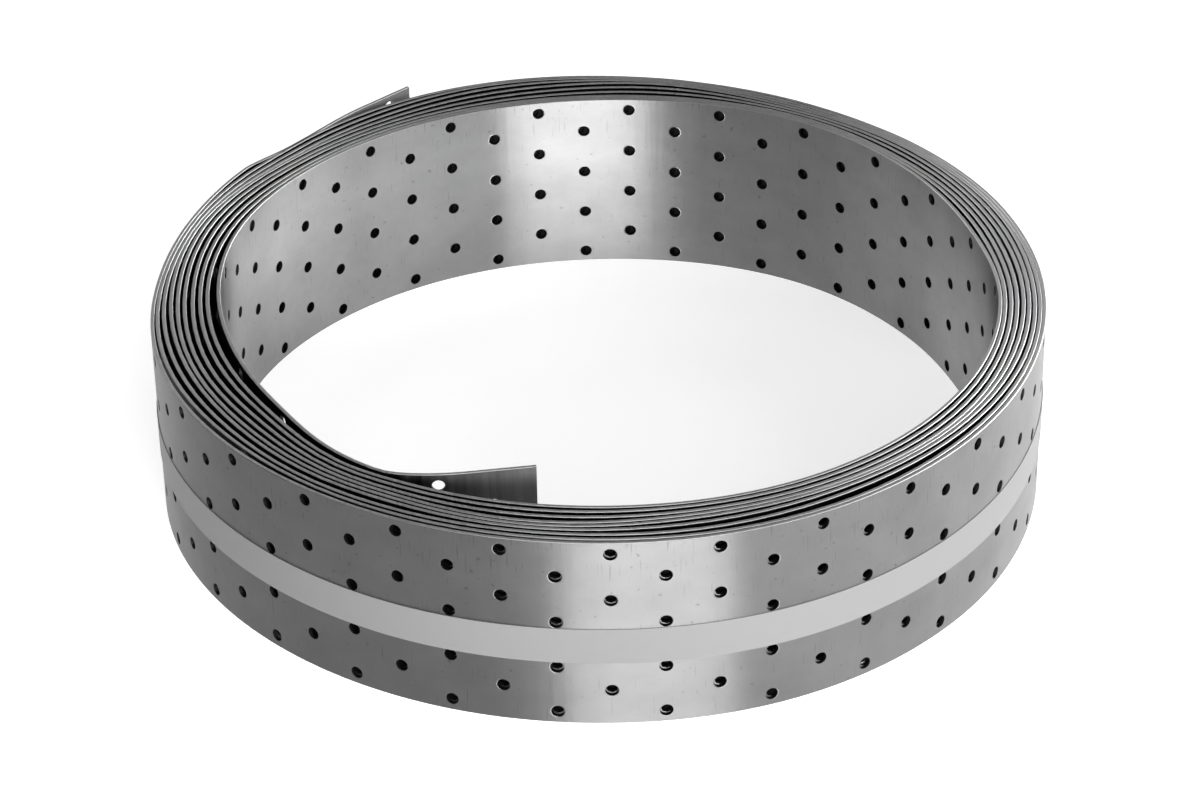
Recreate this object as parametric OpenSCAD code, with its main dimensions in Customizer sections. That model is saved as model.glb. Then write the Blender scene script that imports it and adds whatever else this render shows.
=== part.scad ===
// Coil of perforated steel strap, lying flat with its axis upright.
// The wound turns are one turned ring. Ring-shaped gaps cut into both ends show
// where one turn stops and the next begins. The strap's two ends stand off the
// ring as real strips of the strap's own thickness: the outer one is straight,
// and the inner one springs into the bore for a quarter turn before its tip.
// X and Y lie in the floor, Z runs up the axis, and the floor is at Z = 0.

/* [Strap] */
// Width of the strap, which is the height of the coil
strap_w = 80; // [60:20:100]
// Thickness of the strap
strap_t = 1.5; // [1.2:0.1:1.8]
// Diameter of a punched hole
hole_d = 5; // [4:0.5:6]
// Distance from one column of holes to the next, along the strap
column_pitch = 20; // [18:1:22]

/* [Coil] */
// Outer radius of the coil
coil_r = 181; // [178:1:184]
// Radius of the coil's bore
bore_r = 158; // [155:1:159]
// Turns that show side by side across an end of the coil
turns = 9; // [8:1:10]
// Depth of the gap between two turns, as it is cut into each end
gap_depth = 4; // [3.5:0.5:6]

/* [Free ends] */
// Direction in which the outer end leaves the coil, from +X towards +Y
lift_a = 135.8; // [132:0.2:140]
// Length of the outer end, which runs straight on from the coil
outer_end = 74; // [60:1:80]
// Direction in which the inner end comes out of the bore
root_a = 135.8; // [134:0.2:138]
// Direction in which the inner end turns off towards its tip
fold_a = 236.8; // [236:0.2:237.6]
// How far the inner end springs in from where the next turn would lie
spring_in = 6.8; // [5:0.2:8]
// Radius of the last bend before the inner end's straight tip
bend_r = 80; // [78:1:90]
// Slope of the inner end's straight tip against the X axis
tip_a = 7; // [4:0.5:9]
// Distance from the inner end's tip to its first column of holes
tip_gap = 15.9; // [12:0.1:19]

/* [Binding band] */
// Height of the band's lower edge above the floor
band_z = 27.5; // [20:0.5:40]
// Width of the band
band_w = 15; // [10:1:20]
// Thickness of the band
band_t = 0.4; // [0.3:0.1:0.8]

/* [Hidden] */
ring_fn = 240;
hole_fn = 32;
steel = [0.62, 0.64, 0.66];
plastic = [0.72, 0.72, 0.72];

// Rows of holes: every column has holes 20 mm apart, and the columns take turns
// between the upper rows, whose last hole is near the top edge, and the lower rows
row_pitch = 20;
edge_gap = 5;
upper_rows = [strap_w - edge_gap:-row_pitch:edge_gap];
lower_rows = [edge_gap:row_pitch:strap_w - edge_gap];

// Turns: rings of strap with even gaps between them. A hole goes through its
// turn and stops halfway into the gap behind it
turn_pitch = (coil_r - bore_r - strap_t) / (turns - 1);
gap_w = turn_pitch - strap_t;
hole_depth = strap_t + gap_w / 2;
overcut = 0.5;

// Columns on the outermost turn, counted from the one that faces -Y, and on the
// innermost turn, counted from the one that faces +Y
outer_step = column_pitch / (coil_r - strap_t / 2) * 180 / PI;
inner_step = column_pitch / (bore_r + strap_t / 2) * 180 / PI;
front_a = -90;
back_a = 90;

// Outer end: a straight strip, sunk a hair below the tangent at lift_a so that
// it comes cleanly out of the ring
sink = 0.05;
strip_r = coil_r - sink;
tip_lag = atan(outer_end / strip_r);
clear_lag = acos((strip_r - strap_t) / coil_r);

// Inner end: it comes out of the innermost turn at root_a, lies inside the bore
// up to fold_a, turns to run parallel to X at end_flat, and bends up to its tip
end_flat = [-61.6, -134.8];
bend_c = end_flat + [0, bend_r];
tip_straight = tip_gap + column_pitch - bend_r * tip_a * PI / 180;
root_sink = 1;
rise_span = 50;
fall_span = 30;
fold_pull = 7;
clear_a = root_a + 8;

// First and last column that fit on each wall, short of the strap's free ends
outer_first = -floor((front_a - (lift_a - 360)) / outer_step);
outer_last = floor((lift_a - clear_lag - front_a) / outer_step);
inner_first = -floor((back_a + 360 - fold_a) / inner_step);
inner_last = floor((clear_a - back_a) / inner_step);

// A smooth step from 0 to 1
function ease(x) = (1 - cos(180 * max(0, min(1, x)))) / 2;

// Centre-line radius of the inner end in direction a, while it lies in the bore
function inner_r(a) = bore_r + strap_t / 2 + root_sink
    - (root_sink + turn_pitch + spring_in * ease((fold_a + 1 - a) / fall_span))
    * ease((a - root_a) / rise_span);
function inner_point(a) = inner_r(a) * [cos(a), sin(a)];

// A point of the smooth turn that joins fold_a to end_flat
function fold_point(t) = let (
        p = inner_point(fold_a),
        d = p - inner_point(fold_a - 1),
        q = p + fold_pull * d / norm(d),
        r = end_flat - [fold_pull, 0]
    ) (1 - t) ^ 3 * p + 3 * (1 - t) ^ 2 * t * q + 3 * (1 - t) * t ^ 2 * r + t ^ 3 * end_flat;

// The inner end's centre line from end_flat back to its root
back_line = [
    for (i = [10:-1:1]) fold_point(i / 10),
    for (a = [fold_a:-2:root_a]) inner_point(a)
];

// The inner end's centre line from its tip to end_flat
tip_line = let (turned = bend_c + bend_r * [sin(tip_a), -cos(tip_a)]) [
    turned + tip_straight * [cos(tip_a), sin(tip_a)],
    for (i = [8:-1:1]) bend_c + bend_r * [sin(tip_a * i / 8), -cos(tip_a * i / 8)]
];

// The place and the direction reached after going s along a line
function walk(line, s, i = 0) = let (step = line[i + 1] - line[i], d = norm(step))
    s <= d || i == len(line) - 2 ? [line[i] + step * s / d, atan2(step.y, step.x)]
        : walk(line, s - d, i + 1);

// The line moved sideways by off, to the left of its direction where off is positive
function moved(line, off) = [
    for (i = [0:len(line) - 1])
        let (d = line[min(i + 1, len(line) - 1)] - line[max(i - 1, 0)])
            line[i] + off * [-d.y, d.x] / norm(d)
];

// The cutters of one column of holes, running outwards from x = from
module column(rows, from, depth) {
    for (z = rows)
        translate([from, 0, z]) rotate([0, 90, 0]) cylinder(d = hole_d, h = depth, $fn = hole_fn);
}

// The ring of wound turns, before the gaps between them are cut
module ring() {
    rotate_extrude($fn = ring_fn)
        translate([bore_r, 0]) square([coil_r - bore_r, strap_w]);
}

// The gaps between the turns, as they are cut into both ends
module turn_gaps() {
    for (i = [0:turns - 2], z = [0, strap_w])
        rotate_extrude($fn = ring_fn)
            translate([bore_r + strap_t + i * turn_pitch, z - gap_depth])
                square([gap_w, 2 * gap_depth]);
}

module outer_strip() {
    rotate([0, 0, lift_a])
        translate([strip_r - strap_t, -outer_end, 0]) cube([strap_t, outer_end, strap_w]);
}

// The inner strip's outline runs out along one of its faces and back along the other
module inner_strip() {
    line = [each tip_line, each back_line];
    face = moved(line, strap_t / 2);
    back = moved(line, -strap_t / 2);
    linear_extrude(strap_w)
        polygon([each face, for (i = [len(back) - 1:-1:0]) back[i]]);
}

// Holes in the outermost turn
module outer_turn_holes() {
    for (i = [outer_first:outer_last])
        rotate([0, 0, front_a + i * outer_step])
            column(i % 2 == 0 ? upper_rows : lower_rows, coil_r - hole_depth, hole_depth + overcut);
}

// Holes in the outer strip, which carry the outermost turn's grid on
module outer_strip_holes() {
    last_gap = (front_a + outer_first * outer_step - (lift_a - 360)) * PI / 180 * (coil_r - strap_t / 2);
    for (n = [1:floor((outer_end + last_gap - hole_d) / column_pitch)])
        rotate([0, 0, lift_a])
            translate([0, last_gap - n * column_pitch, 0])
                column((outer_first - n) % 2 == 0 ? upper_rows : lower_rows,
                    strip_r - strap_t - overcut, strap_t + 2 * overcut);
}

// Holes in the innermost turn
module inner_turn_holes() {
    for (i = [inner_first:inner_last])
        rotate([0, 0, back_a + i * inner_step])
            column(i % 2 == 0 ? lower_rows : upper_rows, bore_r - overcut, hole_depth + overcut);
}

// Holes in the inner strip: one column on its straight tip, one at end_flat, and
// then one every column_pitch back along it, up to where it meets the bore
module inner_strip_holes() {
    from = -strap_t / 2 - overcut;
    depth = strap_t + 2 * overcut;
    translate(tip_line[0] - tip_gap * [cos(tip_a), sin(tip_a)])
        rotate([0, 0, tip_a - 90]) column(lower_rows, from, depth);
    translate(end_flat) rotate([0, 0, -90]) column(upper_rows, from, depth);
    for (n = [1:20]) {
        spot = walk(back_line, n * column_pitch);
        if ((atan2(spot[0].y, spot[0].x) + 360) % 360 > clear_a)
            translate(spot[0])
                rotate([0, 0, spot[1] + 90])
                    column(n % 2 == 0 ? upper_rows : lower_rows, from, depth);
    }
}

// The strap as it is wound: a single piece of steel
module strap_coil() {
    color(steel)
        difference() {
            union() {
                ring();
                outer_strip();
                inner_strip();
            }
            turn_gaps();
            outer_turn_holes();
            outer_strip_holes();
            inner_turn_holes();
            inner_strip_holes();
        }
}

// The area that the coil and its outer strip take up, grown outwards by grow:
// a round disc, with a straight-sided point at the strip's tip
module wrapped_area(grow) {
    side_r = strip_r + grow;
    circle(r = coil_r + grow, $fn = ring_fn);
    rotate(lift_a - tip_lag)
        polygon([for (a = [-tip_lag, 0, tip_lag])
            side_r / (a == 0 ? cos(tip_lag) : 1) * [cos(a), sin(a)], [0, 0]]);
}

// A flat band around the coil. It hugs the outermost turn, runs over the outer
// strip to its tip, turns there, and comes straight back to the coil
module binding_band() {
    color(plastic)
        translate([0, 0, band_z])
            difference() {
                linear_extrude(band_w) wrapped_area(band_t);
                translate([0, 0, -1]) linear_extrude(band_w + 2) wrapped_area(0);
            }
}

strap_coil();
binding_band();
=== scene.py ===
"""Looks for a coil of perforated steel strap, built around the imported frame.

The strap is modelled as the one long piece that it is: a flat strip is punched,
given its thickness and its blunted arrises, and then wound onto the line that the
turns follow, from the tip inside the bore to the tip outside the coil. A plastic
band goes round the wound strap. Lengths are in metres, and angles run from +X
towards +Y.
"""

import math

import bmesh
import bpy
import numpy as np
from bpy.props import FloatProperty, FloatVectorProperty, IntProperty, PointerProperty
from mathutils import Matrix, Vector, geometry


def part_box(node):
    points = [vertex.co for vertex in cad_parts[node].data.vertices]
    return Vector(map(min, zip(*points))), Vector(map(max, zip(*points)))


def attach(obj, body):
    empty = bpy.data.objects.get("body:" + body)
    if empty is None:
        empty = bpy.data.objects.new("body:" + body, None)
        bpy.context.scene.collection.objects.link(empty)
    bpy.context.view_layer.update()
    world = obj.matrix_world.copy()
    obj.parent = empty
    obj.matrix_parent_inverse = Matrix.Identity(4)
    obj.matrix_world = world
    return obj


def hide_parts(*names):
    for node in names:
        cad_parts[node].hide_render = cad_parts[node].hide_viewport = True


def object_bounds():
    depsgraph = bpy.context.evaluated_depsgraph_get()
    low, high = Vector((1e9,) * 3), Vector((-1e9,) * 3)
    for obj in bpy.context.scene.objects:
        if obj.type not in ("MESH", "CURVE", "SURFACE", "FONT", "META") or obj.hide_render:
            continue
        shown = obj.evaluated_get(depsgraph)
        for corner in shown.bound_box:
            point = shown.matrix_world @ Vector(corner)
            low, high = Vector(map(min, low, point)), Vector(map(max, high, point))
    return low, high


bl_info = {
    "name": "Perforated strap coil",
    "version": (1, 0, 0),
    "blender": (4, 5, 0),
    "location": "3D View > Sidebar > Strap coil",
    "description": "Models a coil of perforated steel strap, its band and its stage",
    "category": "Add Mesh",
}

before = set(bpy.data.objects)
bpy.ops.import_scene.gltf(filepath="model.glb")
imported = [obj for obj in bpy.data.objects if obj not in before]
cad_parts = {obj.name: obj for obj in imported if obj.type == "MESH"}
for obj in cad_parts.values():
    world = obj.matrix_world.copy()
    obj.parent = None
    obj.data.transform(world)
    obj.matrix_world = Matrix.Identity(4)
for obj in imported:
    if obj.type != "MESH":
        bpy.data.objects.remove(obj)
CAD_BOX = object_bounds()
STRAP_LOW, STRAP_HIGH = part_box("strap_coil")
BAND_LOW, BAND_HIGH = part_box("binding_band")

MM = 0.001
COIL_MIDDLE = Vector((0, 0, (CAD_BOX[0][2] + CAD_BOX[1][2]) / 2))


def linear(code):
    """The linear colour that an sRGB hex code stands for."""
    levels = [int(code[i:i + 2], 16) / 255 for i in (0, 2, 4)]
    return tuple(v / 12.92 if v <= 0.04045 else ((v + 0.055) / 1.055) ** 2.4 for v in levels)


def in_mm(*values):
    """Millimetres, as metres."""
    return tuple(v * MM for v in values)


class StrapSettings(bpy.types.PropertyGroup):
    """The flat strap, before it is wound."""
    width: FloatProperty(
        name="Width", description="Width of the strap, which stands upright in the coil",
        default=STRAP_HIGH.z - STRAP_LOW.z, min=0.02, unit="LENGTH")
    thickness: FloatProperty(
        name="Thickness", description="Thickness of the sheet that the strap is slit from",
        default=1.5 * MM, min=0.0005, unit="LENGTH")
    hole_diameter: FloatProperty(
        name="Hole diameter", description="Diameter of a punched hole",
        default=5 * MM, min=0.001, unit="LENGTH")
    column_pitch: FloatProperty(
        name="Column pitch", description="Distance from one column of holes to the next",
        default=20 * MM, min=0.01, unit="LENGTH")
    first_column: FloatProperty(
        name="First column", description="Distance from the inner tip to the first column",
        default=16.4 * MM, min=0.006, unit="LENGTH")
    inner_slip: FloatProperty(
        name="Inner slip", description="Extra pitch where the innermost turn ends",
        default=2.1 * MM, min=0.0001, unit="LENGTH")
    outer_slip: FloatProperty(
        name="Outer slip", description="Extra pitch where the outermost turn begins",
        default=6.3 * MM, min=0.0001, unit="LENGTH")
    arris: FloatProperty(
        name="Arris", description="Width of the blunted corner along each slit edge",
        default=0.2 * MM, min=0.0, unit="LENGTH")
    roll_width: FloatProperty(
        name="Roll-over width",
        description="Width of the ring that the punch draws down round a hole",
        default=0.45 * MM, min=0.0001, unit="LENGTH")
    roll_depth: FloatProperty(
        name="Roll-over depth", description="Depth to which the punch draws that ring down",
        default=0.14 * MM, min=0.0, unit="LENGTH")
    seen_sides: IntProperty(
        name="Sides of a seen hole",
        description="Facets round a hole on the walls and the free ends",
        default=16, min=6, max=32)
    hidden_sides: IntProperty(
        name="Sides of a hidden hole", description="Facets round a hole between two turns",
        default=8, min=6, max=32)


class WindingSettings(bpy.types.PropertyGroup):
    """The line that the wound strap follows."""
    inner_lift: FloatProperty(
        name="Inner lift-off",
        description="Direction in which the inner end leaves the innermost turn",
        default=math.radians(-123.2), subtype="ANGLE")
    outer_lift: FloatProperty(
        name="Outer lift-off",
        description="Direction in which the outer end leaves the outermost turn",
        default=math.radians(138.8), subtype="ANGLE")
    whole_turns: IntProperty(
        name="Whole turns", description="Full turns between the two lift-offs",
        default=9, min=3)
    inner_radii: FloatVectorProperty(
        name="Inner radii",
        description="Radius of the innermost turn's bore face, every 30 degrees",
        size=13, unit="LENGTH",
        default=in_mm(155.0, 150.4, 152.3, 156.2, 159.0, 160.9, 163.5, 159.8, 159.6, 160.6,
                      161.0, 158.7, 157.6))
    outer_radii: FloatVectorProperty(
        name="Outer radii",
        description="Radius of the outermost turn's outer face, every 30 degrees",
        size=13, unit="LENGTH",
        default=in_mm(177.5, 185.1, 183.1, 179.6, 178.1, 178.8, 182.0, 184.5, 182.7, 180.2,
                      178.5, 176.2, 181.6))
    slack: FloatProperty(
        name="Slack", description="How far the middle turns lie outside their even places",
        default=0.5 * MM, unit="LENGTH")
    clearance: FloatProperty(
        name="Clearance", description="Least gap between two turns that lie against each other",
        default=0.03 * MM, min=0.0, unit="LENGTH")
    inner_flat: FloatVectorProperty(
        name="Inner flat", description="Point where the inner end runs parallel to X",
        size=2, unit="LENGTH", default=in_mm(-61.6, -134.8))
    inner_bend: FloatProperty(
        name="Inner bend", description="Radius of the bend near the inner tip",
        default=80 * MM, min=0.02, unit="LENGTH")
    inner_slope: FloatProperty(
        name="Inner slope", description="Slope of the inner tip against X",
        default=math.radians(7.0), subtype="ANGLE")
    inner_reach: FloatProperty(
        name="Inner reach", description="Length of strap from the inner tip to the inner flat",
        default=35.9 * MM, min=0.01, unit="LENGTH")
    outer_knee: FloatVectorProperty(
        name="Outer knee", description="Point where the outer end becomes straight",
        size=2, unit="LENGTH", default=in_mm(-97.7, 159.25))
    outer_tip: FloatVectorProperty(
        name="Outer tip", description="End of the strap outside the coil",
        size=2, unit="LENGTH", default=in_mm(-77.5, 178.2))


class BandSettings(bpy.types.PropertyGroup):
    """The plastic band round the coil."""
    foot: FloatProperty(
        name="Foot", description="Height of the band's lower edge above the floor",
        default=BAND_LOW.z, min=0.0, unit="LENGTH")
    width: FloatProperty(
        name="Width", description="Width of the band",
        default=BAND_HIGH.z - BAND_LOW.z, min=0.004, unit="LENGTH")
    thickness: FloatProperty(
        name="Thickness", description="Thickness of the band",
        default=0.4 * MM, min=0.0001, unit="LENGTH")
    segments: IntProperty(
        name="Segments", description="Lengths into which the band's loop is divided",
        default=480, min=24)


class FinishSettings(bpy.types.PropertyGroup):
    """Colours of the finishes."""
    # Painted light and shade: the outside and the bore's zinc are one finish in two tones, the
    # outside painted darker and the bore's face painted lighter
    zinc_outside: FloatVectorProperty(
        name="Outside zinc",
        description="Galvanised face on the coil's outside, painted darker than the bore's zinc",
        size=3, subtype="COLOR", min=0, max=1, default=linear("7C7C7C"))
    zinc_inside: FloatVectorProperty(
        name="Inside zinc", description="Galvanised face that the coil shows in its bore",
        size=3, subtype="COLOR", min=0, max=1, default=linear("9E9E9E"))
    # Painted shade: the faces between two turns are painted near-black for the shade in the narrow
    # gaps between them
    zinc_covered_shade: FloatVectorProperty(
        name="Covered zinc", description="Galvanised face between two turns, painted dark for the shade there",
        size=3, subtype="COLOR", min=0, max=1, default=linear("1C1C1C"))
    cut_steel: FloatVectorProperty(
        name="Cut steel", description="Slit edges of the strap",
        size=3, subtype="COLOR", min=0, max=1, default=linear("D2D2D2"))
    # Painted shade: the hole walls are painted dark so that the holes read black
    punched_steel: FloatVectorProperty(
        name="Punched steel", description="Walls of the punched holes",
        size=3, subtype="COLOR", min=0, max=1, default=linear("3A3A3A"))
    band_grey: FloatVectorProperty(
        name="Band grey", description="Plastic of the band",
        size=3, subtype="COLOR", min=0, max=1, default=linear("797979"))
    floor_white: FloatVectorProperty(
        name="Floor white", description="Paper of the floor",
        size=3, subtype="COLOR", min=0, max=1, default=linear("F0F0F0"))


# ---------------------------------------------------------------- winding line

def through_stations(values, place):
    """A smooth curve through evenly spaced values, read at place, in station units."""
    known = np.array([2 * values[0] - values[1], *values, 2 * values[-1] - values[-2]])
    place = np.clip(place, 0, len(values) - 1)
    i = np.minimum(place.astype(int), len(values) - 2)
    f = place - i
    a, b, c, d = known[i], known[i + 1], known[i + 2], known[i + 3]
    return 0.5 * (2 * b + (c - a) * f + (2 * a - 5 * b + 4 * c - d) * f ** 2
                  + (3 * b - a - 3 * c + d) * f ** 3)


def swell(angle, centre, reach):
    """A smooth rise from 0 to 1 and back, round one direction of the coil, in degrees."""
    off = np.abs((angle - centre + 180) % 360 - 180)
    return np.where(off < reach, 0.5 + 0.5 * np.cos(math.pi * off / reach), 0)


def ease(value):
    """A smooth step from 0 to 1, for values from 0 to 1."""
    value = np.clip(value, 0, 1)
    return value * value * (3 - 2 * value)


# Angles along the strap are in degrees, travelled from where its inner end lifts off
POINT_STEP = 0.5          # between two points of the wound line
RADII_STEP = 30           # between two of the inner and outer radii
STAND_OFF_STEP = 20       # between two stand-offs
STAND_OFF_START = 16.8    # to the first stand-off
SMOOTHED = 8              # points on either side that a radius is averaged with

# The start of the innermost turn springs into the bore, and a short stretch bulges into it
SPRING = 3.2 * MM
SPRING_START, SPRING_RISE = 6, 18
SPRING_END, SPRING_FALL = 83, 40
BULGE = 1.6 * MM
BULGE_DIRECTION, BULGE_REACH = 13, 20

# How far each turn stands off the turn inside it, from none to nine. Each line runs once
# round the coil
STAND_OFFS = (
    "797400000041132253",
    "343411000032233464",
    "453442462432232272",
    "444423772433200222",
    "433334862332212523",
    "323205812032335747",
    "553036502002258554",
    "452145002001121244",
    "53106",
)


def full_travel(winding):
    """How far the wound strap goes round, from one lift-off to the other, in degrees."""
    inner_lift, outer_lift = math.degrees(winding.inner_lift), math.degrees(winding.outer_lift)
    return 360 * winding.whole_turns + 360 - (outer_lift - inner_lift)


def wall_radii(winding, thickness, angle, travel):
    """Centre-line radii that the innermost and the outermost turn have in each direction."""
    past_inner = travel % 360
    past_outer = (travel - (full_travel(winding) - 360)) % 360
    inner = through_stations(winding.inner_radii, past_inner / RADII_STEP) + thickness / 2
    outer = through_stations(winding.outer_radii, past_outer / RADII_STEP) - thickness / 2
    sprung = (ease((past_inner - SPRING_START) / SPRING_RISE),
              ease((SPRING_END - past_inner) / SPRING_FALL))
    inner -= SPRING * sprung[0] * sprung[1]
    inner -= BULGE * swell(angle, BULGE_DIRECTION, BULGE_REACH)
    return inner, outer


def turn_radii(winding, thickness):
    """Direction, in degrees, and centre-line radius of the wound turns, from the inside out."""
    travel = np.arange(0, full_travel(winding) + POINT_STEP / 2, POINT_STEP)
    angle = math.degrees(winding.inner_lift) - travel
    inner, outer = wall_radii(winding, thickness, angle, travel)
    turn = int(round(360 / POINT_STEP))
    index = np.arange(len(travel))
    count = index // turn                                      # turns inside each point
    last = index + (len(travel) - 1 - index) // turn * turn    # outermost point that way
    # The room between the innermost and the outermost turn is shared as the stand-offs say
    stand_offs = [int(digit) for line in STAND_OFFS for digit in line]
    stations = (travel - STAND_OFF_START) / STAND_OFF_STEP
    stand_off = np.maximum(through_stations(stand_offs, stations), 0)
    below = np.zeros(len(travel))
    for i in range(turn, len(travel)):
        below[i] = below[i - turn] + stand_off[i - turn]
    closed = thickness + winding.clearance
    room = outer - inner - count[last] * closed
    radius = inner + count * closed + room * below / below[last]
    radius += winding.slack * np.sin(math.pi * count / count[last])
    window = np.ones(2 * SMOOTHED + 1) / (2 * SMOOTHED + 1)
    radius = np.convolve(np.pad(radius, SMOOTHED, mode="edge"), window, "valid")
    for i in range(turn, len(radius)):
        radius[i] = max(radius[i], radius[i - turn] + closed)
    return angle, radius


CURVE_POINTS = 60         # in a curve that joins a free end to the turns
BEND_POINTS = 8           # in the bend near the inner tip
INNER_PULL = 7 * MM       # how far the joining curves hold on to the headings
OUTER_PULL = 18 * MM      # at their ends
OUTER_FREE = 80 * MM      # length of the outer end that stands off the turns


def joining_curve(start, start_angle, end, end_angle, pull):
    """Points of a smooth curve that leaves start and reaches end at the given headings."""
    start, end = np.array(start), np.array(end)
    near = start + pull * np.array([math.cos(start_angle), math.sin(start_angle)])
    far = end - pull * np.array([math.cos(end_angle), math.sin(end_angle)])
    t = np.linspace(0, 1, CURVE_POINTS)[:, None]
    return ((1 - t) ** 3 * start + 3 * (1 - t) ** 2 * t * near
            + 3 * (1 - t) * t ** 2 * far + t ** 3 * end)


def heading_between(a, b):
    """The heading from one plan point to another."""
    return math.atan2(b[1] - a[1], b[0] - a[0])


class Line:
    """The plan line that the strap follows: places and headings by length along it."""

    def __init__(self, points):
        points = np.array(points)
        steps = np.diff(points, axis=0)
        lengths = np.hypot(steps[:, 0], steps[:, 1])
        self.along = np.concatenate([[0], np.cumsum(lengths)])
        self.points = points
        headings = np.unwrap(np.arctan2(steps[:, 1], steps[:, 0]))
        middles = (self.along[1:] + self.along[:-1]) / 2
        self.headings = np.interp(self.along, middles, headings)
        self.length = self.along[-1]
        # Where the innermost turn ends, the outermost begins, and the outer end stands free
        self.inner_seam = self.outer_seam = self.outer_free = None

    def read(self, along):
        """X, Y and heading at each length along the line."""
        x = np.interp(along, self.along, self.points[:, 0])
        y = np.interp(along, self.along, self.points[:, 1])
        return x, y, np.interp(along, self.along, self.headings)


def strap_line(winding, thickness):
    """The strap's centre line in plan, from the inner tip to the outer tip."""
    angle, radius = turn_radii(winding, thickness)
    angle = np.radians(angle)
    turns = np.stack([radius * np.cos(angle), radius * np.sin(angle)], axis=1)
    # The inner end is worked out from the flat point towards the tip, and then turned round
    flat = np.array(winding.inner_flat)
    bend, slope = winding.inner_bend, winding.inner_slope
    slopes = np.linspace(0, slope, BEND_POINTS)[1:]
    arc = flat + bend * np.stack([np.sin(slopes), 1 - np.cos(slopes)], axis=1)
    straight = winding.inner_reach - bend * slope
    tip = arc[-1] + straight * np.array([math.cos(slope), math.sin(slope)])
    rise = joining_curve(turns[0], heading_between(turns[2], turns[0]), flat, 0, INNER_PULL)
    inner = np.concatenate([rise[1:], arc, [tip]])[::-1]
    knee, end = winding.outer_knee, winding.outer_tip
    leave = joining_curve(turns[-1], heading_between(turns[-3], turns[-1]),
                          knee, heading_between(knee, end), OUTER_PULL)
    line = Line(np.concatenate([inner, turns, leave[1:], [end]]))
    one_turn = int(round(2 * math.pi / (angle[0] - angle[1])))
    line.inner_seam = line.along[len(inner) + one_turn]
    line.outer_seam = line.along[len(inner) + len(turns) - 1 - one_turn]
    line.outer_free = line.length - OUTER_FREE
    return line


# ---------------------------------------------------------------- flat strap

OUTSIDE, INSIDE, COVERED, EDGES, PUNCHED = range(5)      # the strap's material slots
CELLS = 8                 # that a column has across the strap, every other one punched
WELD = 0.02 * MM          # corners of two columns closer than this are one
HAIR = 0.01 * MM          # a corner lies on an edge of the strap if it is closer than this
ACROSS = 0.5              # a face whose normal has less than this along an axis runs with it
SQUARE_ON = 0.9           # and one that has more than this faces along the axis


def lay_plain(bm, left, right, low, high, columns, rows):
    """A plain rectangle of the flat strap, as a grid. Returns its faces."""
    place = (Matrix.Translation(((left + right) / 2, (low + high) / 2, 0))
             @ Matrix.Diagonal(((right - left) / 2, (high - low) / 2, 1, 1)))
    made = bmesh.ops.create_grid(bm, x_segments=columns, y_segments=rows, size=1, matrix=place)
    return list({face for vert in made["verts"] for face in vert.link_faces})


def lay_punched(bm, left, right, low, high, strap, sides, columns, rolled):
    """A rectangle of the flat strap with a round hole, ringed by a narrow rim if it is rolled."""
    faces = lay_plain(bm, left, right, low, high, columns, 1)
    corners = {v for f in faces for v in f.verts}
    inside = [e for e in {e for f in faces for e in f.edges} if len(e.link_faces) == 2]
    bmesh.ops.dissolve_edges(bm, edges=inside)
    faces = list({f for v in corners for f in v.link_faces})
    border = list(faces[0].edges)
    bmesh.ops.delete(bm, geom=faces, context="FACES_ONLY")
    radius = strap.hole_diameter / 2
    outer = radius + strap.roll_width if rolled else radius
    centre = Matrix.Translation(((left + right) / 2, (low + high) / 2, 0))
    circle = bmesh.ops.create_circle(bm, segments=sides, radius=outer, matrix=centre)
    ring = list({e for v in circle["verts"] for e in v.link_edges})
    bmesh.ops.triangle_fill(bm, edges=border + ring, use_beauty=True, normal=(0, 0, 1))
    if rolled:
        drawn = bmesh.ops.extrude_edge_only(bm, edges=ring)["geom"]
        drawn = [g for g in drawn if isinstance(g, bmesh.types.BMVert)]
        bmesh.ops.scale(bm, verts=drawn, vec=(radius / outer, radius / outer, 1),
                        space=centre.inverted())


def column_tile(strap, upper, seen):
    """One column pitch of flat strap: punched and plain cells in turn, then a plain stretch."""
    sides = strap.seen_sides if seen else strap.hidden_sides
    columns = 2 if seen else 1
    bm = bmesh.new()
    quarter = strap.column_pitch / 4
    height = strap.width / CELLS
    for cell in range(CELLS):
        low = cell * height
        if (cell % 2 == 1) == upper:
            lay_punched(bm, -quarter, quarter, low, low + height, strap, sides, columns, seen)
        else:
            lay_plain(bm, -quarter, quarter, low, low + height, columns, 1)
    lay_plain(bm, quarter, 3 * quarter, 0, strap.width, columns, CELLS)
    tile = bpy.data.meshes.new("column")
    bm.to_mesh(tile)
    bm.free()
    return tile


def edge_distance(face, strap, length):
    """How far a face's middle lies from the nearest edge of the flat strap."""
    middle = face.calc_center_median()
    return min(middle.z, strap.width - middle.z, middle.x, length - middle.x)


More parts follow.
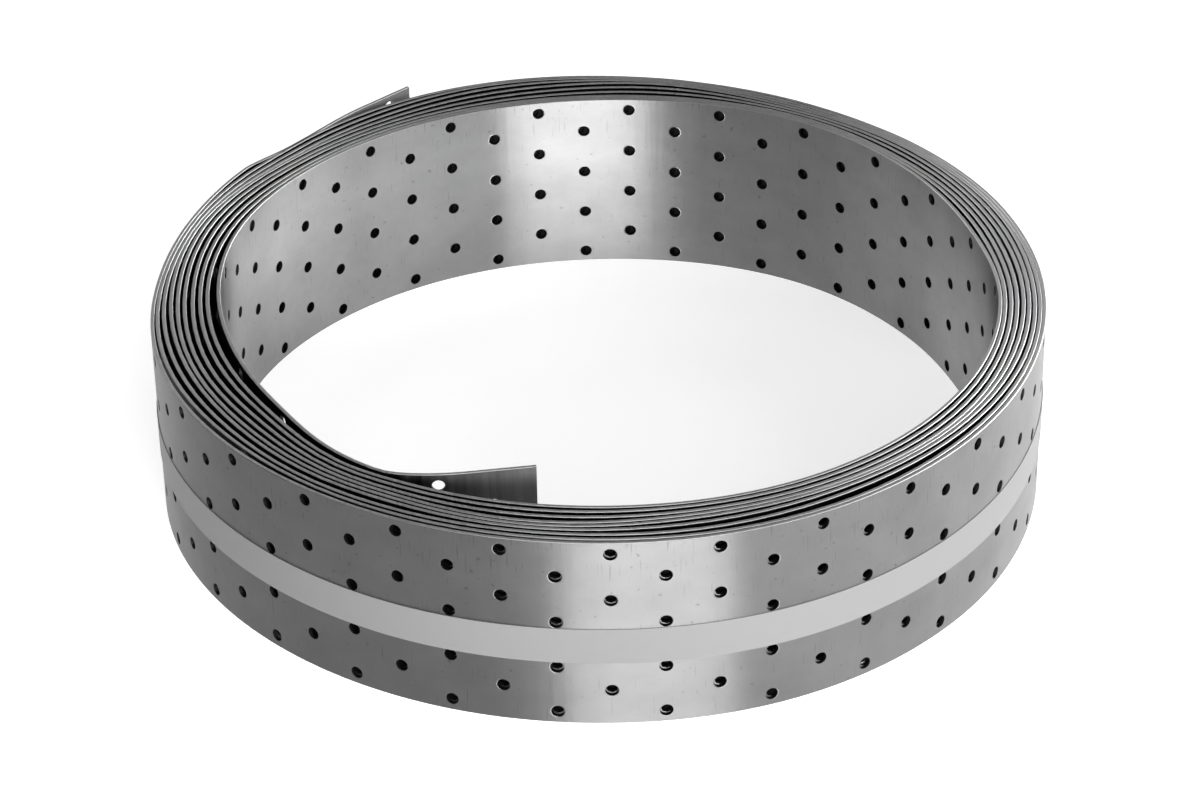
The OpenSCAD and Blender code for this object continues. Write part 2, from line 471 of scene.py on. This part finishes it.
def punched_sheet(strap, line):
    """The strap as a sheet in the floor, column after column, cut off at its outer tip."""
    tiles = {(upper, seen): column_tile(strap, upper, seen)
             for upper in (False, True) for seen in (False, True)}
    pitch, quarter = strap.column_pitch, strap.column_pitch / 4
    bm = bmesh.new()
    centre, upper = strap.first_column, False
    lay_plain(bm, 0, centre - quarter, 0, strap.width, 2, CELLS)
    while centre - quarter < line.length:
        seen = centre < line.inner_seam or centre > line.outer_seam
        tile = tiles[upper, seen].copy()
        tile.transform(Matrix.Translation((centre, 0, 0)))
        bm.from_mesh(tile)
        bpy.data.meshes.remove(tile)
        centre, upper = centre + pitch, not upper
        # Between the turns the columns slip a little, so that both walls have them in place
        slips = (line.inner_seam, strap.inner_slip), (line.outer_seam, strap.outer_slip)
        for place, slip in slips:
            if centre - pitch < place <= centre:
                left = centre - quarter
                lay_plain(bm, left, left + slip, 0, strap.width, 1, CELLS)
                centre += slip
    for tile in tiles.values():
        bpy.data.meshes.remove(tile)
    cut = bmesh.ops.bisect_plane(bm, geom=[*bm.verts, *bm.edges, *bm.faces], dist=1e-6,
                                 plane_co=(line.length, 0, 0), plane_no=(1, 0, 0),
                                 clear_outer=True)
    if not cut["geom_cut"]:
        raise RuntimeError("the strap's outer end could not be cut")
    bmesh.ops.remove_doubles(bm, verts=bm.verts, dist=WELD)
    return bm


def thicken(bm, strap):
    """Stands the sheet upright and gives it its thickness, half of it on each side of Y = 0."""
    upright = Matrix.Rotation(math.pi / 2, 3, "X")
    bmesh.ops.rotate(bm, verts=bm.verts, cent=(0, 0, 0), matrix=upright)
    bmesh.ops.solidify(bm, geom=bm.faces, thickness=strap.thickness)
    if bm.calc_volume(signed=True) < 0:
        bmesh.ops.reverse_faces(bm, faces=bm.faces)
    near, far = min(v.co.y for v in bm.verts), max(v.co.y for v in bm.verts)
    bmesh.ops.translate(bm, verts=bm.verts, vec=(0, -(near + far) / 2, 0))
    bm.normal_update()


def draw_rims(bm, strap, line):
    """Draws the rims of the seen holes towards the bore, as the punch does."""
    walls = [f for f in bm.faces
             if abs(f.normal.y) < ACROSS and edge_distance(f, strap, line.length) > strap.arris]
    rims = {v for f in walls for v in f.verts if not line.inner_seam < v.co.x < line.outer_seam}
    bmesh.ops.translate(bm, verts=list(rims), vec=(0, -strap.roll_depth, 0))
    bm.normal_update()


def blunt_arrises(bm, strap):
    """Blunts the four long corners where the slit edges meet the strap's faces."""
    def at_slit_edge(edge):
        return (all(v.co.z < HAIR for v in edge.verts)
                or all(v.co.z > strap.width - HAIR for v in edge.verts))

    arrises = [e for e in bm.edges if len(e.link_faces) == 2
               and any(abs(f.normal.z) > SQUARE_ON and len(f.verts) == 4 for f in e.link_faces)
               and any(abs(f.normal.y) > SQUARE_ON for f in e.link_faces)
               and at_slit_edge(e)]
    bmesh.ops.bevel(bm, geom=arrises, offset=strap.arris, offset_type="OFFSET", affect="EDGES",
                    segments=1, profile=0.5, material=-1, clamp_overlap=True)
    bm.normal_update()


def share_finishes(bm, strap, line):
    """Gives every face its material slot. Faces with a negative Y look towards the bore."""
    # The last turn but one shows through the holes of the outermost, so its outer face keeps the
    # outside zinc; other faces between two turns get the covered zinc, painted dark for the shade
    # there
    bright_from = 2 * line.outer_seam - line.length
    for face in bm.faces:
        middle = face.calc_center_median()
        if abs(face.normal.y) < SQUARE_ON:
            at_edge = edge_distance(face, strap, line.length) < strap.arris
            face.material_index = EDGES if at_edge else PUNCHED
        elif middle.x > line.outer_free:
            face.material_index = OUTSIDE
        elif middle.y < 0:
            face.material_index = INSIDE if middle.x < line.inner_seam else COVERED
        else:
            face.material_index = COVERED if middle.x < bright_from else OUTSIDE


def flat_strap(strap, line):
    """The whole strap, flat and upright: X along it, Y through it and Z across it."""
    bm = punched_sheet(strap, line)
    thicken(bm, strap)
    draw_rims(bm, strap, line)
    blunt_arrises(bm, strap)
    share_finishes(bm, strap, line)
    return bm


STRAP_UV = "strap"              # the UV map
CREASE = math.radians(30)       # edges sharper than this stay sharp in the shading
EDGE_SHARE = 0.7                # how much of the thickness the UV map shows on the edges


def read_all(items, attribute, columns, kind):
    """One attribute of all the items of a mesh, as an array with that many columns."""
    values = np.empty(len(items) * columns, kind)
    items.foreach_get(attribute, values)
    return values.reshape(-1, columns) if columns > 1 else values


def wind(mesh, line, thickness):
    """Winds a flat upright mesh onto a line, and gives it its UV map and its shading.

    The UV map is in metres of flat strap, along it and across it. On the strap's edges and
    in its holes it takes in the thickness too, so that no face is without a direction.
    """
    spot = read_all(mesh.vertices, "co", 3, np.float32).astype(float)
    corner = read_all(mesh.loops, "vertex_index", 1, np.int32)
    mesh.shade_smooth()
    mesh.set_sharp_from_angle(angle=CREASE)
    normals = read_all(mesh.corner_normals, "vector", 3, np.float32)
    # On the strap's two faces the shading is flat right up to the rims of the holes
    level = ((np.abs(np.abs(spot[corner, 1]) - thickness / 2) < 1e-6)
             & (np.abs(normals[:, 1]) > SQUARE_ON))
    normals[level] = np.sign(normals[level, 1])[:, None] * np.array([0, 1, 0])
    through = read_all(mesh.polygons, "normal", 3, np.float32)[:, 1]
    sizes = read_all(mesh.polygons, "loop_total", 1, np.int32)
    edgewise = np.repeat(np.abs(through) < SQUARE_ON, sizes)
    flat = spot[corner]
    lift = np.where(edgewise, EDGE_SHARE * flat[:, 1], 0)
    uv = np.stack([flat[:, 0] + lift, flat[:, 2] + lift], axis=1).astype(np.float32)
    mesh.uv_layers.new(name=STRAP_UV).data.foreach_set("uv", uv.ravel())
    x, y, heading = line.read(spot[:, 0])
    wound = np.stack([x - spot[:, 1] * np.sin(heading), y + spot[:, 1] * np.cos(heading),
                      spot[:, 2]], axis=1)
    mesh.vertices.foreach_set("co", wound.astype(np.float32).ravel())
    mesh.update()
    turn = heading[corner]
    shaded = np.stack([normals[:, 0] * np.cos(turn) - normals[:, 1] * np.sin(turn),
                       normals[:, 0] * np.sin(turn) + normals[:, 1] * np.cos(turn),
                       normals[:, 2]], axis=1)
    mesh.normals_split_custom_set(shaded.tolist())


# ---------------------------------------------------------------- materials

DULLED = 0.84             # how much of its brightness smudged zinc keeps
MARKED = 0.7              # and how much dirty or scored zinc keeps
HANDLED_FROM = 58 * MM    # above this height scores become commoner,
HANDLED_TO = 80 * MM      # up to the strap's upper edge,
SCORED_MORE = 0.055       # and by how much there
SHADE_FADES_WITHIN = 55 * MM      # distance from the inner tip within which the painted shade of the covered faces fades out
SMEARED = 30 * MM         # how far upright smears shift the edge of that fade
FLOOR_LIFT = 0.6          # glow that brings the lit paper up to white
MIX_COLOURS = (6, 7)      # numbers of the sockets for a Mix node's two colours
MIX_RESULT = 2            # and of the one for their mix


def add(tree, kind, settings=(), **links):
    """Adds one node, with its settings and its links.

    settings are properties of the node and plain values of its sockets. Each link feeds the
    socket of its name, where _ stands for a space, or of its number where it is called i and
    that number.
    """
    node = tree.nodes.new(kind)
    for key, value in dict(settings).items():
        if key in node.inputs:
            node.inputs[key].default_value = value
        else:
            setattr(node, key, value)
    for key, source in links.items():
        numbered = key[0] == "i" and key[1:].isdigit()
        tree.links.new(source, node.inputs[int(key[1:]) if numbered else key.replace("_", " ")])
    return node


def mix(tree, share, first, second):
    """The colour that goes from first to second as share goes from 0 to 1, as a socket."""
    node = add(tree, "ShaderNodeMix", {"data_type": "RGBA"}, Factor=share)
    for number, colour in zip(MIX_COLOURS, (first, second)):
        if isinstance(colour, bpy.types.NodeSocket):
            tree.links.new(colour, node.inputs[number])
        else:
            node.inputs[number].default_value = (*colour, 1)
    return node.outputs[MIX_RESULT]


def noise(tree, place, scale, detail, roughness=0.5):
    """Noise whose grain is a metre over the scale in each direction, as a socket."""
    place = add(tree, "ShaderNodeMapping", {"Scale": scale}, Vector=place).outputs[0]
    return add(tree, "ShaderNodeTexNoise",
               {"Scale": 1.0, "Detail": detail, "Roughness": roughness},
               Vector=place).outputs["Fac"]


def strap_uv(tree):
    """Each point's place on the flat strap, along it and across it in metres, as a socket."""
    return add(tree, "ShaderNodeUVMap", {"uv_map": STRAP_UV}).outputs["UV"]


def new_material(name):
    """A new material whose node tree is empty, and that tree."""
    material = bpy.data.materials.new(name)
    material.use_nodes = True
    material.node_tree.nodes.clear()
    return material, material.node_tree


def handling_marks(tree, uv):
    """Grains of dirt and short scores across the strap, as a mask.

    The grains are 2.6 mm apart and the scores 0.8 mm wide and 12 mm long, about twice as
    coarse as real ones. The scores are commonest near the upper edge, which hands reach.
    """
    grain = add(tree, "ShaderNodeTexNoise", {"Scale": 380.0, "Detail": 1.0}, Vector=uv)
    grain = add(tree, "ShaderNodeMapRange", {"From Min": 0.71, "From Max": 0.76},
                Value=grain.outputs["Fac"])
    score = noise(tree, uv, (1300, 80, 1), 1.0)
    across = add(tree, "ShaderNodeSeparateXYZ", Vector=uv)
    handled = add(tree, "ShaderNodeMapRange",
                  {"From Min": HANDLED_FROM, "From Max": HANDLED_TO, "To Max": SCORED_MORE},
                  Value=across.outputs["Y"])
    score = add(tree, "ShaderNodeMath", {"operation": "ADD"}, i0=score, i1=handled.outputs[0])
    score = add(tree, "ShaderNodeMapRange", {"From Min": 0.68, "From Max": 0.78},
                Value=score.outputs[0])
    marks = add(tree, "ShaderNodeMath", {"operation": "MAXIMUM"},
                i0=grain.outputs[0], i1=score.outputs[0])
    return marks.outputs[0]


def galvanised_sheet(name, zinc):
    """Hot-dip galvanised, skin-passed steel: bright rolled zinc, a little cloudy and scuffed."""
    material, tree = new_material(name)
    uv = strap_uv(tree)
    # Clouds, 33 mm long and 25 mm wide
    cloud = add(tree, "ShaderNodeMapRange", {"From Min": 0.35, "From Max": 0.7},
                Value=noise(tree, uv, (30, 40, 1), 6.0, 0.65))
    colour = mix(tree, cloud.outputs[0], zinc, [DULLED * channel for channel in zinc])
    colour = mix(tree, handling_marks(tree, uv), colour, [MARKED * channel for channel in zinc])
    # Shallow waves right across the strap, about 6 mm apart, make the reflections uneven
    bump = add(tree, "ShaderNodeBump", {"Strength": 1.0, "Distance": 0.06 * MM},
               Height=noise(tree, uv, (160, 6, 1), 3.0, 0.55))
    # The rolls leave lines along the strap, which draw the reflections out across it
    tangent = add(tree, "ShaderNodeTangent", {"direction_type": "UV_MAP", "uv_map": STRAP_UV})
    shader = add(tree, "ShaderNodeBsdfPrincipled",
                 {"Metallic": 1.0, "Roughness": 0.41, "Anisotropic": 1.0,
                  "Anisotropic Rotation": 0.25},
                 Base_Color=colour, Normal=bump.outputs[0], Tangent=tangent.outputs[0])
    add(tree, "ShaderNodeOutputMaterial", Surface=shader.outputs[0])
    return material


def covered_sheet(finish):
    """The same zinc between two turns, painted near-black for the shade there. Towards the inner
    tip, which stands free of the turns, the painted shade gives way to the outside zinc.
    """
    material, tree = new_material("galvanised steel strip, shaded between turns")
    uv = strap_uv(tree)
    # Its roughness varies in patches of some 17 mm
    roughness_patches = add(tree, "ShaderNodeTexNoise", {"Scale": 60.0, "Detail": 3.0}, Vector=uv)
    rough = add(tree, "ShaderNodeMapRange", {"To Min": 0.35, "To Max": 0.6},
                Value=roughness_patches.outputs["Fac"])
    # Upright smears, about 4 mm wide, make the edge of the painted shade ragged
    smear = add(tree, "ShaderNodeMapRange", {"To Min": -SMEARED, "To Max": SMEARED},
                Value=noise(tree, uv, (240, 14, 1), 3.0))
    along = add(tree, "ShaderNodeSeparateXYZ", Vector=uv)
    place = add(tree, "ShaderNodeMath", {"operation": "ADD"},
                i0=along.outputs["X"], i1=smear.outputs[0])
    unshaded = add(tree, "ShaderNodeMapRange", {"From Min": SHADE_FADES_WITHIN, "From Max": 0.0},
                Value=place.outputs[0])
    # Painted shade: the near-black covered colour, fading to the outside zinc near the inner tip
    colour = mix(tree, unshaded.outputs[0], finish.zinc_covered_shade, finish.zinc_outside)
    shader = add(tree, "ShaderNodeBsdfPrincipled", {"Metallic": 1.0},
                 Base_Color=colour, Roughness=rough.outputs[0])
    add(tree, "ShaderNodeOutputMaterial", Surface=shader.outputs[0])
    return material


def punched_steel(finish):
    """The sheared wall of a punched hole: torn, unzinced steel, painted dark for the shade inside
    the hole.
    """
    material, tree = new_material("mild steel, punched")
    shader = add(tree, "ShaderNodeBsdfPrincipled",
                 {"Metallic": 1.0, "Roughness": 0.5, "Base Color": (*finish.punched_steel, 1)})
    add(tree, "ShaderNodeOutputMaterial", Surface=shader.outputs[0])
    return material


def cut_steel(finish):
    """Sheared low-carbon steel: the bare slit edges, brighter and rougher than the zinc."""
    material, tree = new_material("mild steel, slit")
    # Shear marks, about 1 mm apart along the edge
    rough = add(tree, "ShaderNodeMapRange", {"To Min": 0.3, "To Max": 0.55},
                Value=noise(tree, strap_uv(tree), (900, 60, 1), 2.0))
    shader = add(tree, "ShaderNodeBsdfPrincipled",
                 {"Metallic": 1.0, "Base Color": (*finish.cut_steel, 1)},
                 Roughness=rough.outputs[0])
    add(tree, "ShaderNodeOutputMaterial", Surface=shader.outputs[0])
    return material


def band_plastic(finish):
    """Polypropylene strapping, extruded and drawn: pale, low gloss, finely lined lengthwise."""
    material, tree = new_material("polypropylene strapping, extruded")
    place = add(tree, "ShaderNodeTexCoord").outputs["Object"]
    # Lines 0.7 mm apart, about twice as coarse as real ones, and some 80 mm long
    bump = add(tree, "ShaderNodeBump", {"Strength": 0.5, "Distance": 0.03 * MM},
               Height=noise(tree, place, (12, 12, 1400), 2.0))
    shader = add(tree, "ShaderNodeBsdfPrincipled",
                 {"Roughness": 0.45, "IOR": 1.49, "Base Color": (*finish.band_grey, 1)},
                 Normal=bump.outputs[0])
    add(tree, "ShaderNodeOutputMaterial", Surface=shader.outputs[0])
    return material


def pale_floor(finish):
    """Matt white paper, which shows white wherever it isn't in the object's shadow."""
    material, tree = new_material("matt white paper")
    paper = add(tree, "ShaderNodeBsdfDiffuse", {"Color": (*finish.floor_white, 1)})
    path = add(tree, "ShaderNodeLightPath")
    seen = add(tree, "ShaderNodeMath", {"operation": "MAXIMUM"},
               i0=path.outputs["Is Camera Ray"], i1=path.outputs["Is Glossy Ray"])
    seen = add(tree, "ShaderNodeMath", {"operation": "MAXIMUM"},
               i0=seen.outputs[0], i1=path.outputs["Is Transmission Ray"])
    lift = add(tree, "ShaderNodeMath", {"operation": "MULTIPLY"}, i0=seen.outputs[0])
    lift.inputs[1].default_value = FLOOR_LIFT
    glow = add(tree, "ShaderNodeEmission", {"Color": (1, 1, 1, 1)}, Strength=lift.outputs[0])
    both = add(tree, "ShaderNodeAddShader", i0=paper.outputs[0], i1=glow.outputs[0])
    add(tree, "ShaderNodeOutputMaterial", Surface=both.outputs[0])
    return material


# ---------------------------------------------------------------- operators

class COIL_OT_strap(bpy.types.Operator):
    """Model the punched strap and wind it into the coil"""
    bl_idname = "coil.strap"
    bl_label = "Wound strap"

    def execute(self, context):
        scene = context.scene
        strap, winding = scene.coil_strap, scene.coil_winding
        line = strap_line(winding, strap.thickness)
        bm = flat_strap(strap, line)
        mesh = bpy.data.meshes.new("wound_strap")
        bm.to_mesh(mesh)
        bm.free()
        wind(mesh, line, strap.thickness)
        finish = scene.coil_finish
        # Two copies of one zinc: the outside one painted darker and the bore's one painted lighter,
        # as painted shade and painted light
        for material in (galvanised_sheet("galvanised steel strip, outside", finish.zinc_outside),
                         galvanised_sheet("galvanised steel strip, inside", finish.zinc_inside),
                         covered_sheet(finish), cut_steel(finish), punched_steel(finish)):
            mesh.materials.append(material)
        piece = bpy.data.objects.new("wound_strap", mesh)
        scene.collection.objects.link(piece)
        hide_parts("strap_coil")
        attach(piece, "root")
        return {"FINISHED"}


BAND_STRETCH = 1.3        # length of strap, from its outer tip inwards, that the band goes round
BAND_SAMPLES = 1600       # points of that stretch
BAND_GAP = 0.02 * MM      # that keeps the band clear of the strap
BAND_CREASE = math.radians(35)


def band_path(line, strap):
    """The closed plan path of a band drawn tight round the coil, and the length to each corner."""
    x, y, heading = line.read(np.linspace(line.length - BAND_STRETCH, line.length, BAND_SAMPLES))
    offset = strap.thickness / 2 + BAND_GAP
    skin = [Vector((px - offset * math.sin(h), py + offset * math.cos(h)))
            for px, py, h in zip(x, y, heading)]
    hull = [skin[i] for i in geometry.convex_hull_2d(skin)]
    corners = np.array([*hull, hull[0]])
    reach = np.concatenate([[0], np.cumsum(np.hypot(*np.diff(corners, axis=0).T))])
    return corners, reach


def band_loop(band, corners, reach):
    """The band as a thin wall that stands on its plan path."""
    bm = bmesh.new()
    made = bmesh.ops.create_circle(bm, segments=band.segments, radius=1)
    start = math.atan2(corners[0][1], corners[0][0])
    for vert in made["verts"]:
        share = (math.atan2(vert.co.y, vert.co.x) - start) / (2 * math.pi) % 1
        along = share * reach[-1]
        vert.co = (np.interp(along, reach, corners[:, 0]), np.interp(along, reach, corners[:, 1]),
                   band.foot)
    walls = bmesh.ops.extrude_edge_only(bm, edges=bm.edges)
    top = [g for g in walls["geom"] if isinstance(g, bmesh.types.BMVert)]
    bmesh.ops.translate(bm, verts=top, vec=(0, 0, band.width))
    bmesh.ops.recalc_face_normals(bm, faces=bm.faces)
    outward = sum(f.normal.xy.dot(f.calc_center_median().xy) for f in bm.faces)
    thickness = band.thickness * (-1 if outward > 0 else 1)
    bmesh.ops.solidify(bm, geom=bm.faces, thickness=thickness)
    bmesh.ops.recalc_face_normals(bm, faces=bm.faces)
    return bm


class COIL_OT_band(bpy.types.Operator):
    """Model the plastic band that is drawn tight round the coil"""
    bl_idname = "coil.band"
    bl_label = "Binding band"

    def execute(self, context):
        scene = context.scene
        strap = scene.coil_strap
        line = strap_line(scene.coil_winding, strap.thickness)
        bm = band_loop(scene.coil_band, *band_path(line, strap))
        mesh = bpy.data.meshes.new("packing_band")
        bm.to_mesh(mesh)
        bm.free()
        mesh.shade_smooth()
        mesh.set_sharp_from_angle(angle=BAND_CREASE)
        mesh.materials.append(band_plastic(scene.coil_finish))
        piece = bpy.data.objects.new("packing_band", mesh)
        scene.collection.objects.link(piece)
        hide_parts("binding_band")
        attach(piece, "root")
        return {"FINISHED"}


# ---------------------------------------------------------------- stage

CAMERA_LENS = 111.24                     # mm
CAMERA_SENSOR = 36                       # mm wide
CAMERA_DISTANCE = 1.5
CAMERA_SIDE = math.radians(-91.2)
CAMERA_RISE = math.radians(31.448)
CAMERA_ROLL = math.radians(-0.935)
# How far the camera looks to the right of the coil's middle, and above it
CAMERA_AIM = (math.radians(0.03), math.radians(-0.45))


def direction(side, rise):
    """The direction that lies side round from +X and rise above the floor."""
    return Vector((math.cos(rise) * math.cos(side), math.cos(rise) * math.sin(side),
                   math.sin(rise)))


def turned(first, second, angle):
    """Two axes square to each other, turned in their own plane from the first to the second."""
    cos, sin = math.cos(angle), math.sin(angle)
    return first * cos + second * sin, second * cos - first * sin


def place_camera(scene):
    """A long lens that looks down at the coil from the front."""
    ahead = -direction(CAMERA_SIDE, CAMERA_RISE)
    right = ahead.cross(Vector((0, 0, 1))).normalized()
    up = right.cross(ahead)
    place = COIL_MIDDLE - CAMERA_DISTANCE * ahead
    yaw, pitch = CAMERA_AIM
    ahead, up = turned(ahead, up, pitch)
    ahead, right = turned(ahead, right, yaw)
    right, up = turned(right, up, CAMERA_ROLL)
    data = bpy.data.cameras.new("camera")
    data.lens = CAMERA_LENS
    data.sensor_width = CAMERA_SENSOR
    camera = bpy.data.objects.new("camera", data)
    axes = Matrix((right, up, -ahead)).transposed().to_4x4()
    camera.matrix_world = Matrix.Translation(place) @ axes
    scene.collection.objects.link(camera)
    scene.camera = camera


FLOOR_REACH = 6           # from the floor's middle to its sides
WORLD_GREY = 0.01
LAMP_DISTANCE = 1.8
# Each lamp's name, its direction from +X and its rise above the floor in degrees, its width
# and height, and its power in watts
SOFTBOXES = (
    ("key", -82, 12.5, 1.25, 0.44, 45),
    ("key top", -90, 33, 1.3, 0.7, 8),
    ("right front", -36, 15, 1.45, 0.44, 15.8),
    ("right", 6, 15, 1.1, 0.44, 13.8),
    ("right back", 38, 15, 1.1, 0.44, 13),
    ("right top", -8, 33, 1.3, 0.7, 4),
    ("back top", 50, 33, 1.3, 0.7, 4),
    ("back left", 130, 38, 0.7, 1.2, 8),
)


def softbox(scene, name, side, rise, width, height, power):
    """A rectangular lamp in a direction from the coil, turned towards its middle."""
    data = bpy.data.lights.new(name, "AREA")
    data.shape = "RECTANGLE"
    data.size = width
    data.size_y = height
    data.energy = power
    lamp = bpy.data.objects.new(name, data)
    away = direction(math.radians(side), math.radians(rise))
    lamp.location = COIL_MIDDLE + LAMP_DISTANCE * away
    lamp.rotation_euler = away.to_track_quat("Z", "Y").to_euler()
    scene.collection.objects.link(lamp)


class COIL_OT_stage(bpy.types.Operator):
    """Lay the floor, set the lamps and place the camera"""
    bl_idname = "coil.stage"
    bl_label = "Stage"

    def execute(self, context):
        scene = context.scene
        bm = bmesh.new()
        bmesh.ops.create_grid(bm, x_segments=1, y_segments=1, size=FLOOR_REACH)
        mesh = bpy.data.meshes.new("floor")
        bm.to_mesh(mesh)
        bm.free()
        mesh.materials.append(pale_floor(scene.coil_finish))
        floor = bpy.data.objects.new("floor", mesh)
        scene.collection.objects.link(floor)
        world = bpy.data.worlds.new("studio")
        world.use_nodes = True
        background = world.node_tree.nodes["Background"]
        background.inputs["Color"].default_value = (WORLD_GREY, WORLD_GREY, WORLD_GREY, 1)
        scene.world = world
        for settings in SOFTBOXES:
            softbox(scene, *settings)
        scene.view_settings.view_transform = "Standard"
        place_camera(scene)
        return {"FINISHED"}


class COIL_PT_panel(bpy.types.Panel):
    """Sizes, finishes and operators of the coil."""
    bl_idname = "COIL_PT_panel"
    bl_label = "Strap coil"
    bl_space_type = "VIEW_3D"
    bl_region_type = "UI"
    bl_category = "Strap coil"

    def draw(self, context):
        scene = context.scene
        for operator, settings in ((COIL_OT_strap, (scene.coil_strap, scene.coil_winding)),
                                   (COIL_OT_band, (scene.coil_band,)),
                                   (COIL_OT_stage, (scene.coil_finish,))):
            box = self.layout.box()
            for group in settings:
                for name in group.__annotations__:
                    box.prop(group, name)
            box.operator(operator.bl_idname)


SETTINGS = {
    "coil_strap": StrapSettings,
    "coil_winding": WindingSettings,
    "coil_band": BandSettings,
    "coil_finish": FinishSettings,
}
CLASSES = (*SETTINGS.values(), COIL_OT_strap, COIL_OT_band, COIL_OT_stage, COIL_PT_panel)


def register():
    for cls in CLASSES:
        bpy.utils.register_class(cls)
    for name, group in SETTINGS.items():
        setattr(bpy.types.Scene, name, PointerProperty(type=group))


def unregister():
    for name in SETTINGS:
        delattr(bpy.types.Scene, name)
    for cls in reversed(CLASSES):
        bpy.utils.unregister_class(cls)


def main():
    register()
    bpy.ops.coil.stage()
    bpy.ops.coil.strap()
    bpy.ops.coil.band()


if __name__ == "__main__":
    main()
